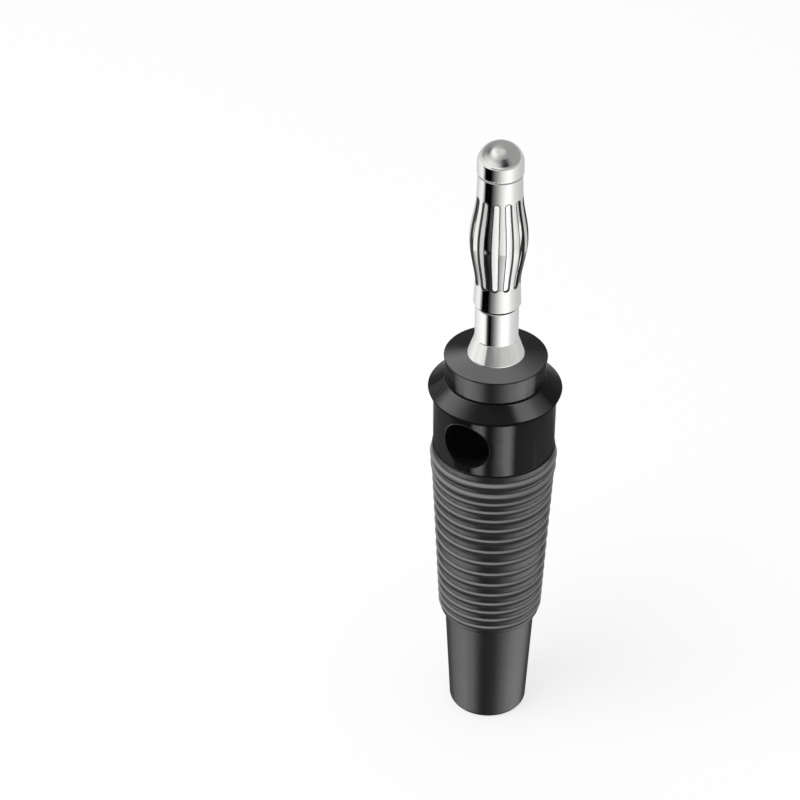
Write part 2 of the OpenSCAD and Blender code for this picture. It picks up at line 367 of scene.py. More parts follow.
# %% Profiles of the head
HOLE_Z, HOLE_R, HEAD_BORE_R, PIN_BORE_R, HEAD_SEAT_Z = 31.55, 2.1, 3.32, 2.41, 35.67
NECK_LOW, NECK_HIGH, NECK_LOW_R, NECK_HIGH_R, FLANGE_Z = 29.1, 34.12, 5.21, 5.25, 34.2
UNDERCUT, RIM_R, RIM_Z = [5.58, 34.34], 5.7, 34.65
FLANGE_TOP, COLLAR_GROOVE = [4.32, 35.63], [4.15, 35.6]
COLLAR_FOOT, COLLAR_TOP, COLLAR_MIDDLE_Z = [4.2, 35.76], [4.38, 37.87], 38.14


def neck_radius(z):
    """A slight draft: the neck grows in proportion to the height on its way up to the flange."""
    share = (np.asarray(z, float) - SEAM_Z) / (FLANGE_Z - SEAM_Z)
    return NECK_LOW_R + (NECK_HIGH_R - NECK_LOW_R) * share


head_below = soften(
    [[HEAD_BORE_R, NECK_LOW], [HEAD_BORE_R, SEAM_Z], [NECK_LOW_R, SEAM_Z],
     [neck_radius(NECK_LOW), NECK_LOW]],
    [0.1, 0.1],
)
head_above = soften(
    [[neck_radius(NECK_HIGH), NECK_HIGH], [NECK_HIGH_R, FLANGE_Z], UNDERCUT, [RIM_R, RIM_Z], FLANGE_TOP,
     COLLAR_GROOVE, COLLAR_FOOT, COLLAR_TOP, [PIN_BORE_R, COLLAR_MIDDLE_Z], [PIN_BORE_R, HEAD_SEAT_Z],
     [HEAD_BORE_R, HEAD_SEAT_Z], [HEAD_BORE_R, NECK_HIGH]],
    [0.04, 0.04, 0.02, 0.03, 0.03, 0.03, 0.05, 0.05, 0.05, 0.05],
)
print("points along the head's profiles:", len(head_below), len(head_above))

# %% Cross hole of the head
MOUTH_ROLL, UNROLLED_R = 0.05, 5.2

head_angles = hole_angles(NECK_LOW, NECK_HIGH, HOLE_Z, UNROLLED_R)
mouth_t = np.linspace(0, np.pi / 2, 6)[:, None]
mouth_r = HOLE_R + MOUTH_ROLL * (1 - np.sin(mouth_t))
mouth_x, mouth_z = mouth_r * np.cos(head_angles), HOLE_Z + mouth_r * np.sin(head_angles)
mouth = on_tube(neck_radius(mouth_z), mouth_x, mouth_z, MOUTH_ROLL * (1 - np.cos(mouth_t)))
neck = holed_half(neck_radius, NECK_LOW, NECK_HIGH, HOLE_Z, HOLE_R + MOUTH_ROLL, head_angles)
lining = holed_half(straight(HEAD_BORE_R), NECK_LOW, NECK_HIGH, HOLE_Z, HOLE_R, head_angles, rings=6)
head_half = [neck, mouth, wall(mouth[-1], lining[0], steps=6), lining]
hard_head = piece_from_grids(
    "hard_head", [turned(head_below), turned(head_above), *head_half, *map(mirrored, head_half)])

# %% Dull skin and painted shade of the head
# The wall of the cross hole and the flange's narrow edge keep the mould's dull skin, and a darker tone
# there is painted shade: the inside of the hole and a dark line under the rim.
EDGE_FROM_R, EDGE_BELOW_RIM = 5.3, 0.005

x, y, z = points_in_mm(hard_head)
in_hole = np.hypot(x, z - HOLE_Z) < HOLE_R + MARGIN
on_edge = (np.hypot(x, y) > EDGE_FROM_R) & (z < RIM_Z - EDGE_BELOW_RIM)
keep_share(hard_head, "dull_and_shaded", in_hole | on_edge)
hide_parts("insulating_head")
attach(hard_head, "plug")

# %% [markdown]
# ## Turned contact
# The contact is one brass part from the lathe, plated with nickel: a barrel inside the head and
# the grip, then the bare cone, the shank, a thinner core for the cage and a domed tip. The cross
# hole, the hole for the wire and the tapped hole for its screw meet inside the barrel, so each is
# a tube between two hole edges.

# %% Profiles of the contact
BARREL_R, BARREL_LOW, BARREL_MIDDLE, BARREL_HIGH, BORE_R, BORE_END = 3.3, 14.0, 25.0, 35.65, 1.5, 26.0
SCREW_SPAN, CROSS_SPAN = (15.5, 21.0), (29.1, 34.1)
PIN_R, CONE_Z, SHANK_R, SHANK_Z = 2.39, 38.16, 1.83, 39.84
CAGE_Z, CORE_R, GROOVE_EDGE, SHOULDER_LEN = 43.19, 1.61, 0.05, 0.16
FOOT_GROOVE_LOW, FOOT_GROOVE_HIGH = CAGE_Z - 0.4, CAGE_Z + 0.2
TIP_Z, TOP_Z, TIP_R, TIP_LIP, DOME_LEN = 55.69, 58.34, 1.9, 0.02, 1.55
TIP_GROOVE_LOW = TIP_Z - 0.3

# The dome is a cap of a sphere: its radius is (r^2 + h^2) / (2 h), and it meets the tip at a slight edge.
dome_r = (TIP_R**2 + DOME_LEN**2) / (2 * DOME_LEN)
dome_a = np.linspace(math.asin(1 - DOME_LEN / dome_r), np.pi / 2, 33)
dome = np.stack([dome_r * np.cos(dome_a), TOP_Z - dome_r + dome_r * np.sin(dome_a)], axis=-1)
dome[-1, 0] = 0
pin_above = np.concatenate([soften(
    [[BARREL_R, CROSS_SPAN[1]], [BARREL_R, BARREL_HIGH], [PIN_R, BARREL_HIGH], [PIN_R, CONE_Z],
     [SHANK_R, SHANK_Z], [SHANK_R, CAGE_Z - SHOULDER_LEN], [CORE_R, FOOT_GROOVE_LOW],
     [CORE_R, FOOT_GROOVE_HIGH], [CORE_R, FOOT_GROOVE_HIGH + GROOVE_EDGE],
     [CORE_R, TIP_GROOVE_LOW - GROOVE_EDGE], [CORE_R, TIP_GROOVE_LOW],
     [CORE_R, TIP_Z], [TIP_R + TIP_LIP, TIP_Z], dome[0]],
    [0.1, 0.05, 0.03, 0.04, 0.07, 0.05, 0.01, 0.01, 0.01, 0.01, 0.05, 0.05],
), dome[1:]])
pin_below = soften(
    [[BORE_R, SCREW_SPAN[0]], [BORE_R, BARREL_LOW], [BARREL_R, BARREL_LOW], [BARREL_R, SCREW_SPAN[0]]],
    [0.15, 0.3],
)
barrel_wall = np.array([[BARREL_R, SCREW_SPAN[1]], [BARREL_R, BARREL_MIDDLE], [BARREL_R, CROSS_SPAN[0]]])
bore_end = soften([[BORE_R, SCREW_SPAN[1]], [BORE_R, BORE_END], [0, BORE_END]], [0.1])
print("dome's radius in mm:", round(dome_r, 3))

# %% Holes of the contact
SCREW_HOLE_R, SCREW_Z = 1.3, 18.2

cross_angles = hole_angles(*CROSS_SPAN, HOLE_Z, BARREL_R)
screw_angles = hole_angles(*SCREW_SPAN, SCREW_Z, BARREL_R)
cross_half = holed_half(straight(BARREL_R), *CROSS_SPAN, HOLE_Z, HOLE_R, cross_angles, rings=10)
screw_half = holed_half(straight(BARREL_R), *SCREW_SPAN, SCREW_Z, SCREW_HOLE_R, screw_angles, rings=10)
bore_half = holed_half(straight(BORE_R), *SCREW_SPAN, SCREW_Z, SCREW_HOLE_R, screw_angles, rings=6)
turned_contact = piece_from_grids("turned_contact", [
    turned(pin_below), turned(barrel_wall), turned(pin_above), turned(bore_end),
    cross_half, mirrored(cross_half), wall(cross_half[0], mirrored(cross_half)[0], steps=10),
    screw_half, plain_half(BARREL_R, *SCREW_SPAN), wall(screw_half[0], bore_half[0], steps=6),
    bore_half, plain_half(BORE_R, *SCREW_SPAN),
])

# %% Core and grooves
# Under the cage the core is only rough turned, and the narrow grooves at the cage's ends are painted near
# black, as painted shade under the cage's end rings.
CORE_WITHIN_R, CORE_BELOW_CAGE, CORE_PAST_TIP = 1.75, 0.5, 0.02

x, y, z = points_in_mm(turned_contact)
inside_cage = np.hypot(x, y) < CORE_WITHIN_R
inside_cage &= (z > CAGE_Z - CORE_BELOW_CAGE) & (z < TIP_Z + CORE_PAST_TIP)
keep_share(turned_contact, "core", inside_cage)
keep_share(turned_contact, "groove", inside_cage & ((z < FOOT_GROOVE_HIGH) | (z > TIP_GROOVE_LOW)))
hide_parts("contact_pin")
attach(turned_contact, "plug")

# %% [markdown]
# ## Spring cage
# The cage is stamped from thin spring sheet with twelve slots, rolled into a tube and bulged, so
# its leaves press on the wall of a socket. One leaf is a strip between two slot edges. Its width
# follows the slots' outline, which closes to nothing at the plain end rings, so neighbouring
# strips meet there and make the rings by themselves. The seam of the rolled sheet stays open.

# %% Outline of the cage and its slots
CAGE_LEN, RING_LEN, SHEET_T, FOOT_GAP, TIP_GAP = 12.38, 2.1, 0.2, 0.06, 0.14
FOOT_RING_R, TIP_RING_R, FOOT_TAPER, TIP_TAPER = 1.94, 1.9, 0.05, 0.07
BULGE_R, BULGE_POWER = 2.425, 1.6
SLOT_COUNT, SLOT_W, SLOT_LEN, SLOT_TURN, SEAM_SLOT, SEAM_W = 12, 0.46, 8.3, 20.5, 3, 0.16

cage_foot = CAGE_Z + FOOT_GAP
cage_middle = cage_foot + CAGE_LEN / 2
mean_ring_r = (FOOT_RING_R + TIP_RING_R) / 2


def cage_radius(z):
    """Two rings with a bulge of sin(pi u)^1.6 between them, u from 0 to 1 along the bulge. Both rings
    taper by about a tenth of a millimetre, and the bulge takes the foot's taper back."""
    u = np.clip((z - cage_foot - RING_LEN) / (CAGE_LEN - 2 * RING_LEN), 0, 1)
    along_foot = np.clip((z - cage_foot) / RING_LEN, 0, 1)
    along_tip = np.clip((z - cage_foot - CAGE_LEN + RING_LEN) / RING_LEN, 0, 1)
    taper = FOOT_TAPER * np.where(along_foot < 1, 1 - 2 * along_foot, -(1 - u) ** 2) - TIP_TAPER * along_tip
    plain = FOOT_RING_R + taper + (TIP_RING_R - FOOT_RING_R) * u
    return plain + (BULGE_R - mean_ring_r) * np.sin(np.pi * u) ** BULGE_POWER


def slot_half_angle(z):
    """Half the angle of a slot: constant between its round ends, sqrt(w^2/4 - d^2) / r in them."""
    d = np.abs(z - cage_foot - CAGE_LEN / 2) - (SLOT_LEN - SLOT_W) / 2
    round_end = np.sqrt(np.clip((SLOT_W / 2) ** 2 - np.clip(d, 0, None) ** 2, 0, None))
    return np.where(d < 0, np.arctan(SLOT_W / 2 / mean_ring_r), np.arcsin(round_end / cage_radius(z)))


print("cage from", cage_foot, "to", cage_foot + CAGE_LEN - TIP_GAP)

# %% Leaves of the cage
# Rows lie close in the slots' round ends, and columns lie close along a leaf's edges.
end_rows = SLOT_LEN / 2 - SLOT_W / 2 * (1 - np.sin(np.linspace(0, np.pi / 2, 11)))
past_slot = SLOT_LEN / 2 + np.array([0.06, 0.1])
ring_rows = np.linspace(SLOT_LEN / 2 + 0.2, CAGE_LEN / 2, 9)
half_rows = np.concatenate([np.linspace(0, end_rows[0], 29)[:-1], end_rows, past_slot, ring_rows])
cage_rows = np.concatenate([cage_middle - half_rows[:0:-1], cage_middle + half_rows])[:, None]
cage_rows[-1] -= TIP_GAP
leaf_columns = np.concatenate([[0, 0.08], np.linspace(0.14, 0.86, 9), [0.92, 1]])
slotted = np.abs(cage_rows[:, 0] - cage_middle) <= SLOT_LEN / 2 + TOLERANCE


def leaf_grids(number):
    """Outer and inner face, both end faces and the two slot walls of one leaf."""
    pitch = 2 * np.pi / SLOT_COUNT
    opening = slot_half_angle(cage_rows)
    seam = np.maximum(opening, np.arcsin(SEAM_W / 2 / cage_radius(cage_rows)))
    left = seam if number == SEAM_SLOT else opening
    right = seam if (number + 1) % SLOT_COUNT == SEAM_SLOT else opening
    a = math.radians(SLOT_TURN) + pitch * number + left + (pitch - left - right) * leaf_columns
    r = cage_radius(cage_rows)
    ray = np.stack([np.cos(a), np.sin(a)], axis=-1)
    outside = np.concatenate([ray * r[..., None], 0 * ray[..., :1] + cage_rows[..., None]], axis=-1)
    inside = np.concatenate([ray * (r - SHEET_T)[..., None], outside[..., 2:]], axis=-1)
    left_rows = slotted if left is opening else np.ones_like(slotted)
    right_rows = slotted if right is opening else np.ones_like(slotted)
    return [outside, inside, wall(outside[0], inside[0], 1), wall(outside[-1], inside[-1], 1),
            wall(outside[left_rows, 0], inside[left_rows, 0], 1),
            wall(outside[right_rows, -1], inside[right_rows, -1], 1)]


spring_cage = piece_from_grids(
    "spring_cage", [grid for number in range(SLOT_COUNT) for grid in leaf_grids(number)])

# %% Stamped edges of the cage
# The sheet is plated before it is stamped, so the walls of the slots are bare. Their near-black tone and a
# narrow dark line along their edges are painted shade, with a rougher finish. The distance from the slot's
# outline gives each point its share.
CUT_W, CUT_FADE, EDGE_ROUND, EDGE_ANGLE = 0.1, 0.04, 0.03, 50
SLOT_PITCH = 360 / SLOT_COUNT

x, y, z = points_in_mm(spring_cage)
turned_by = np.degrees(np.arctan2(y, x)) - SLOT_TURN
from_middle = np.abs((turned_by + SLOT_PITCH / 2) % SLOT_PITCH - SLOT_PITCH / 2)
from_slot = np.radians(from_middle) * cage_radius(z)
past_end = np.clip(np.abs(z - cage_middle) - (SLOT_LEN - SLOT_W) / 2, 0, None)
half_slot = np.where(past_end > 0, SLOT_W / 2, slot_half_angle(z) * cage_radius(z))
from_cut = np.hypot(from_slot, past_end) - half_slot
keep_share(spring_cage, "cut_and_shade", np.clip((CUT_W - from_cut) / CUT_FADE, 0, 1))
edge = spring_cage.modifiers.new("stamped edge", "BEVEL")
edge.width, edge.segments = EDGE_ROUND * MM, 2
edge.limit_method, edge.angle_limit = "ANGLE", math.radians(EDGE_ANGLE)
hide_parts("lantern_spring")
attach(spring_cage, "cage")

# %% [markdown]
# ## Finishes
# Two effects serve more than one material, so each is a node group. A moulded skin has a fine
# grain and patches that shine a little more or less. Tool marks are fine lines that run round a
# turned part or along rolled sheet. Each material places a group with its own values, and the
# shader itself stays in the material.

# %% Node helpers
FLOAT, VECTOR = "NodeSocketFloat", "NodeSocketVector"


def grey(value):
    """A colour with the same red, green and blue."""
    return (value, value, value, 1)


def put(tree, kind, links=(), **settings):
    """Adds a node, sets its properties, and fills its inputs from sockets or plain values."""
    node = tree.nodes.new(kind)
    for name, value in settings.items():
        setattr(node, name, value)
    for socket, value in dict(links).items():
        if isinstance(value, bpy.types.NodeSocket):
            tree.links.new(value, node.inputs[socket])
        else:
            node.inputs[socket].default_value = value
    return node


def math_node(tree, operation, *values):
    """The result of a Math node on sockets or plain values."""
    return put(tree, "ShaderNodeMath", dict(enumerate(values)), operation=operation).outputs[0]


def mixed_colour(tree, share, first, second):
    """A mix of two colours, each a socket or a plain colour."""
    mix = put(tree, "ShaderNodeMix", {"Factor": share, 6: first, 7: second}, data_type="RGBA")
    return mix.outputs[2]


def new_group(name, inputs, outputs):
    """An empty shader group with named sockets: inputs are (name, kind, value)."""
    tree = bpy.data.node_groups.new(name, "ShaderNodeTree")
    for label, kind, value in inputs:
        socket = tree.interface.new_socket(label, in_out="INPUT", socket_type=kind)
        if value is not None:
            socket.default_value = value
    for label in outputs:
        tree.interface.new_socket(label, in_out="OUTPUT", socket_type=FLOAT)
    return tree, tree.nodes.new("NodeGroupInput").outputs, tree.nodes.new("NodeGroupOutput").inputs


def noise(tree, place, scale, detail):
    """The value of a Noise texture."""
    texture = put(tree, "ShaderNodeTexNoise", {"Vector": place, "Scale": scale, "Detail": detail})
    return texture.outputs["Fac"]


def varied(tree, value, spread, middle):
    """A value from 0 to 1 made to vary round a middle: (value - 1/2) spread + middle."""
    return math_node(tree, "MULTIPLY_ADD", math_node(tree, "SUBTRACT", value, 0.5), spread, middle)


# %% Moulded skin and tool marks
skin_tree, skin_in, skin_out = new_group("Moulded skin", [
    ("Vector", VECTOR, None), ("Grain scale", FLOAT, 9000.0), ("Patch scale", FLOAT, 400.0),
    ("Roughness", FLOAT, 0.4), ("Spread", FLOAT, 0.1)], ["Patches", "Roughness", "Grain"])
grain = noise(skin_tree, skin_in["Vector"], skin_in["Grain scale"], 3.0)
patches = noise(skin_tree, skin_in["Vector"], skin_in["Patch scale"], 4.0)
skin_gloss = varied(skin_tree, patches, skin_in["Spread"], skin_in["Roughness"])
skin_tree.links.new(patches, skin_out["Patches"])
skin_tree.links.new(skin_gloss, skin_out["Roughness"])
skin_tree.links.new(grain, skin_out["Grain"])

marks_tree, marks_in, marks_out = new_group("Tool marks", [
    ("Vector", VECTOR, None), ("Line scale", FLOAT, 1.0), ("Roughness", FLOAT, 0.1),
    ("Spread", FLOAT, 0.05)], ["Lines", "Roughness"])
lines = noise(marks_tree, marks_in["Vector"], marks_in["Line scale"], 2.0)
marks_gloss = varied(marks_tree, lines, marks_in["Spread"], marks_in["Roughness"])
marks_tree.links.new(lines, marks_out["Lines"])
marks_tree.links.new(marks_gloss, marks_out["Roughness"])
print("shared groups:", skin_tree.name, "and", marks_tree.name)

# %% Materials in layers
SHADER = "Principled BSDF"


def new_material(name):
    """A material with its Principled shader and the Object coordinates of the piece."""
    material = bpy.data.materials.new(name)
    material.use_nodes = True
    tree = material.node_tree
    return material, tree, tree.nodes[SHADER].inputs, put(tree, "ShaderNodeTexCoord").outputs["Object"]


def overlay(material, share, tone=None, gloss=None):
    """Mixes another tone or roughness over what the shader gets so far. The share is the name of an
    attribute, or the socket that works it out."""
    tree, surface = material.node_tree, material.node_tree.nodes[SHADER].inputs
    if isinstance(share, str):
        share = put(tree, "ShaderNodeAttribute", attribute_name=share).outputs["Fac"]
    if tone is not None:
        under = surface["Base Color"].links[0].from_socket
        tree.links.new(mixed_colour(tree, share, under, tone), surface["Base Color"])
    if gloss is not None:
        under = surface["Roughness"].links[0].from_socket
        mix = put(tree, "ShaderNodeMix", {"Factor": share, 2: under, 3: gloss}, data_type="FLOAT")
        tree.links.new(mix.outputs[0], surface["Roughness"])


# %% [markdown]
# ## Black mouldings
# Both black pieces are coloured right through. The soft one is satin, with a grain that the mould's fine
# spark finish leaves, and its ribs carry a painted highlight on their upper sides. The hard one is glossy,
# and only a slight waviness breaks its reflections. The shares on the points lay the painted rib
# highlights, the dull crevices and the hidden places with painted shade over the plain finish.

# %% Soft and hard black


def black_moulding(name, dark, pale, roughness, spread, grain_scale, patch_scale, depth, height, specular):
    """A moulded black: the skin's patches mix two near blacks and vary the gloss, its grain is the bump."""
    material, tree, surface, place = new_material(name)
    skin = put(tree, "ShaderNodeGroup", {
        "Vector": place, "Grain scale": grain_scale, "Patch scale": patch_scale,
        "Roughness": roughness, "Spread": spread}, node_tree=skin_tree).outputs
    bump = put(tree, "ShaderNodeBump", {"Strength": depth, "Distance": height, "Height": skin["Grain"]})
    tree.links.new(mixed_colour(tree, skin["Patches"], dark, pale), surface["Base Color"])
    tree.links.new(skin["Roughness"], surface["Roughness"])
    tree.links.new(bump.outputs["Normal"], surface["Normal"])
    surface["Specular IOR Level"].default_value = specular
    return material


soft_black = black_moulding(
    "soft black moulding", dark=(0.006, 0.006, 0.0062, 1), pale=(0.01, 0.01, 0.0103, 1),
    roughness=0.22, spread=0.1, grain_scale=7000.0, patch_scale=350.0,
    depth=0.12, height=0.02 * MM, specular=0.2)
# A paler tone on the upper side of each rib is a painted highlight; the band is also rougher.
overlay(soft_black, "painted_rib_highlight", tone=(0.18, 0.18, 0.182, 1), gloss=0.5)
overlay(soft_black, "crevice", gloss=0.9)
soft_grip.data.materials.append(soft_black)

hard_black = black_moulding(
    "hard black moulding", dark=(0.002, 0.002, 0.0021, 1), pale=(0.004, 0.004, 0.0042, 1),
    roughness=0.1, spread=0.04, grain_scale=2500.0, patch_scale=250.0,
    depth=0.04, height=0.01 * MM, specular=0.06)
# The darker tone in the cross hole and on the flange's edge is painted shade; the roughness there is the
# dull skin.
overlay(hard_black, "dull_and_shaded", tone=grey(0.0008), gloss=0.9)
hard_head.data.materials.append(hard_black)
print("blacks:", soft_black.name, "and", hard_black.name)

# %% Collar left out of mirrors
# Bright nickel would mirror the black collar and look dirty at its foot. Mirrored rays therefore pass
# through the collar, which lies above the flange.
COLLAR_ABOVE_Z = 35.65

tree = hard_black.node_tree
place = put(tree, "ShaderNodeTexCoord").outputs["Object"]
height = put(tree, "ShaderNodeSeparateXYZ", {"Vector": place}).outputs["Z"]
in_collar = math_node(tree, "GREATER_THAN", height, COLLAR_ABOVE_Z * MM)
mirrored_ray = put(tree, "ShaderNodeLightPath").outputs["Is Glossy Ray"]
solid = math_node(tree, "SUBTRACT", 1.0, math_node(tree, "MULTIPLY", in_collar, mirrored_ray))
tree.links.new(solid, tree.nodes[SHADER].inputs["Alpha"])
print("mirrored rays pass through the head above", COLLAR_ABOVE_Z, "mm")

# %% [markdown]
# ## Plated metal
# Nickel over turned brass is nearly white and mirrors its surroundings, so the light does most of the work.
# Fine turning lines go round the pin, and rolling lines run along the sheet of the cage. Inside the cross
# hole the plating is painted near black and made rough, as painted shade that keeps that hole dark.

# %% Tool marks on plating
MARK_HEIGHT = 0.004


def plated_metal(name, pale, deep, roughness, spread, stretch, line_scale, depth):
    """A plated metal: tool marks, stretched along one direction, vary its tone, gloss and bump."""
    material, tree, surface, place = new_material(name)
    along = put(tree, "ShaderNodeMapping", {"Vector": place, "Scale": stretch}).outputs["Vector"]
    marks = put(tree, "ShaderNodeGroup", {
        "Vector": along, "Line scale": line_scale, "Roughness": roughness, "Spread": spread},
        node_tree=marks_tree).outputs
    bump = put(tree, "ShaderNodeBump", {
        "Strength": depth, "Distance": MARK_HEIGHT * MM, "Height": marks["Lines"]})
    tree.links.new(mixed_colour(tree, marks["Lines"], deep, pale), surface["Base Color"])
    tree.links.new(marks["Roughness"], surface["Roughness"])
    tree.links.new(bump.outputs["Normal"], surface["Normal"])
    surface["Metallic"].default_value = 1.0
    return material, tree, place


# %% Nickel on the pin
HOLE_SHADE_FROM, HOLE_SHADE_TO = HOLE_R + 0.04, HOLE_R + 0.01

nickel_pin, tree, place = plated_metal(
    "nickel on turned brass", pale=(0.88, 0.875, 0.865, 1), deep=(0.80, 0.795, 0.785, 1),
    roughness=0.05, spread=0.03, stretch=(0.0, 0.0, 1.0), line_scale=9000.0, depth=0.05)
apart = put(tree, "ShaderNodeSeparateXYZ", {"Vector": place}).outputs
above = math_node(tree, "SUBTRACT", apart["Z"], HOLE_Z * MM)
flat = put(tree, "ShaderNodeCombineXYZ", {"X": apart["X"], "Z": above}).outputs[0]
far = put(tree, "ShaderNodeVectorMath", {0: flat}, operation="LENGTH").outputs["Value"]
hole_shade = put(tree, "ShaderNodeMapRange", {
    "Value": far, "From Min": HOLE_SHADE_FROM * MM, "From Max": HOLE_SHADE_TO * MM}).outputs[0]
# Painted shade: near the cross hole's axis the plating gets a near-black tone, and a rougher finish.
overlay(nickel_pin, hole_shade, tone=grey(0.006), gloss=0.6)
overlay(nickel_pin, "core", gloss=0.55)
# The grooves at the cage's ends get a near-black tone: painted shade.
overlay(nickel_pin, "groove", tone=grey(0.01))
turned_contact.data.materials.append(nickel_pin)
print("dull plating up to", round(HOLE_SHADE_TO, 2), "mm from the cross hole's axis")

# %% Nickel on the cage, zinc on the screw
nickel_sheet, *_ = plated_metal(
    "nickel on spring sheet", pale=(0.88, 0.875, 0.865, 1), deep=(0.81, 0.805, 0.795, 1),
    roughness=0.055, spread=0.03, stretch=(1.0, 1.0, 0.01), line_scale=7000.0, depth=0.04)
# Painted shade: the slot walls and a narrow band along the slots' edges get a near-black tone and a rougher
# finish.
overlay(nickel_sheet, "cut_and_shade", tone=(0.06, 0.058, 0.055, 1), gloss=0.45)
spring_cage.data.materials.append(nickel_sheet)

zinc_steel, *_ = plated_metal(
    "zinc on steel", pale=(0.58, 0.59, 0.61, 1), deep=(0.42, 0.43, 0.45, 1),
    roughness=0.3, spread=0.12, stretch=(1.0, 0.2, 1.0), line_scale=6000.0, depth=0.2)
screw_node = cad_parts["clamp_screw"]
screw_node.data.materials.clear()
screw_node.data.materials.append(zinc_steel)
print("metals:", ", ".join(metal.name for metal in (nickel_pin, nickel_sheet, zinc_steel)))

# %% [markdown]
# ## Pale floor
# The plug stands on a pale floor. A plain plane is enough. To the camera a share of it glows white,
# so that it runs into the white sky, and the rest still takes the plug's soft shadow.

# %% Floor and its paint
FLOOR_HALF, FLOOR_DROP, FLOOR_WHITE, FLOOR_GLOW = 2.0, 0.02, 0.9, 0.7

corner_signs = ((-1, -1), (1, -1), (1, 1), (-1, 1))
floor_mesh = bpy.data.meshes.new("floor")
floor_mesh.from_pydata(
    [(FLOOR_HALF * a, FLOOR_HALF * b, -FLOOR_DROP * MM) for a, b in corner_signs], [], [(0, 1, 2, 3)])
floor = add_object("floor", floor_mesh)
floor.visible_glossy = False
floor.visible_shadow = False
floor_paint = bpy.data.materials.new("pale floor")
floor_paint.use_nodes = True
tree = floor_paint.node_tree
tree.nodes.clear()
matt = put(tree, "ShaderNodeBsdfDiffuse", {"Color": grey(FLOOR_WHITE)})
glow = put(tree, "ShaderNodeEmission", {"Color": grey(1.0), "Strength": 1.0})
camera_ray = put(tree, "ShaderNodeLightPath").outputs["Is Camera Ray"]
glow_share = math_node(tree, "MULTIPLY", camera_ray, FLOOR_GLOW)
paint = put(tree, "ShaderNodeMixShader", {0: glow_share, 1: matt.outputs[0], 2: glow.outputs[0]})
put(tree, "ShaderNodeOutputMaterial", {"Surface": paint.outputs[0]})
floor_mesh.materials.append(floor_paint)
print("floor:", 2 * FLOOR_HALF, "m wide")

# %% [markdown]
# ## Studio rings
# Glossy black and nickel show their surroundings more than their own colour. In a small product
# studio these are light and dark cards round the object. A picture of a studio could light it, but
# here the world is worked out from rings, laid one over the other: each is a row of light and dark
# round the plug, above one elevation. Only reflections see the rings. All other rays get an even
# light, and the camera sees white.

# %% Directions in the world
CAMERA_AZIMUTH = 28.0
RING_TOP, LOWEST_LEVEL, EVEN_LEVEL = 2.0, 0.06, 0.75

world = bpy.data.worlds.new("studio")
bpy.context.scene.world = world
world.use_nodes = True
tree = world.node_tree
tree.nodes.clear()
direction = put(tree, "ShaderNodeTexCoord").outputs["Generated"]
faced = put(tree, "ShaderNodeVectorRotate", {
    "Vector": direction, "Angle": math.radians(-CAMERA_AZIMUTH)}, rotation_type="Z_AXIS")
split = put(tree, "ShaderNodeSeparateXYZ", {"Vector": faced.outputs[0]}).outputs
toward = math_node(tree, "MULTIPLY", split["Y"], -1.0)
turned_to = math_node(tree, "ARCTAN2", split["X"], toward)
ring_place = put(tree, "ShaderNodeMapRange", {
    "Value": turned_to, "From Min": -math.pi, "From Max": math.pi}).outputs[0]


def fill_ramp(ramp, stops, top):
    """Sets a ramp's stops: pairs of a place from 0 to 1 and the level there, kept as a share of top."""
    elements = ramp.color_ramp.elements
    elements.remove(elements[1])
    for number, (place, value) in enumerate(stops):
        stop = elements[0] if number == 0 else elements.new(place)
        stop.position, stop.color = place, grey(value / top)


def ring(under, low, fade, stops):
    """Lays a ring of light and dark over everything above an elevation: stops are pairs of degrees
    from the camera's side and level, joined by straight ramps."""
    ramp = put(tree, "ShaderNodeValToRGB", {"Fac": ring_place})
    fill_ramp(ramp, [((degrees + 180) / 360, value) for degrees, value in stops], RING_TOP)
    start, end = (math.sin(math.radians(low + fade * side)) for side in (-0.5, 0.5))
    over = put(tree, "ShaderNodeMapRange", {
        "Value": split["Z"], "From Min": start, "From Max": end}, interpolation_type="SMOOTHSTEP")
    return mixed_colour(tree, over.outputs[0], under, ramp.outputs["Color"])


# %% Rings from the lowest to the highest
level = grey(LOWEST_LEVEL / RING_TOP)
# Low down, for the grip and the collar: pale sides that fade to the back, and a dark middle
level = ring(level, -72, 8, [
    (-180, 0.05), (-150, 0.12), (-125, 0.35), (-104, 0.8), (-92, 1.0), (-82, 0.5), (-72, 0.02),
    (-50, 0.01), (-36, 0.05), (-24, 0.12), (-12, 0.2), (0, 0.3), (12, 0.5), (26, 0.8), (40, 1.1),
    (60, 1.2), (78, 1.05), (98, 0.75), (120, 0.4), (140, 0.15), (180, 0.05)])
# The shank sees a dark card on the left that fades to a pale right side
level = ring(level, -36.0, 1.6, [
    (-180, 0.55), (-155, 0.7), (-120, 0.95), (-90, 1.15), (-72, 1.2), (-60, 0.92), (-53, 0.3),
    (-48, 0.05), (-40, 0.0), (-33, 0.0), (-24, 0.07), (-12, 0.25), (0, 0.52), (12, 0.85), (24, 1.14),
    (36, 1.25), (60, 1.25), (72, 0.98), (84, 0.83), (108, 0.73), (132, 0.67), (180, 0.55)])
# The cage and the tip see the same card, set further to the left
level = ring(level, -32.2, 1.6, [
    (-180, 0.55), (-155, 0.65), (-110, 1.0), (-94, 1.05), (-84, 0.45), (-76, 0.0), (-44, 0.0),
    (-36, 0.06), (-24, 0.22), (-12, 0.39), (0, 0.63), (12, 0.88), (24, 1.07), (36, 1.2), (50, 1.2),
    (62, 1.05), (74, 0.85), (108, 0.66), (180, 0.55)])
# The dome's edge sees a pale left side, the cone a grey front
level = ring(level, -8.5, 2.5, [
    (-180, 0.55), (-110, 0.85), (-70, 1.0), (-12, 1.0), (4, 0.6), (14, 0.45), (40, 0.6), (70, 0.68),
    (120, 0.7), (180, 0.55)])
level = ring(level, -2.5, 1.0, [
    (-180, 0.42), (-110, 0.8), (-60, 0.92), (-46, 0.85), (-40, 0.25), (-36, 0.2), (-12, 0.275),
    (0, 0.36), (12, 0.46), (24, 0.6), (48, 0.64), (72, 0.6), (96, 0.5), (120, 0.45), (180, 0.42)])
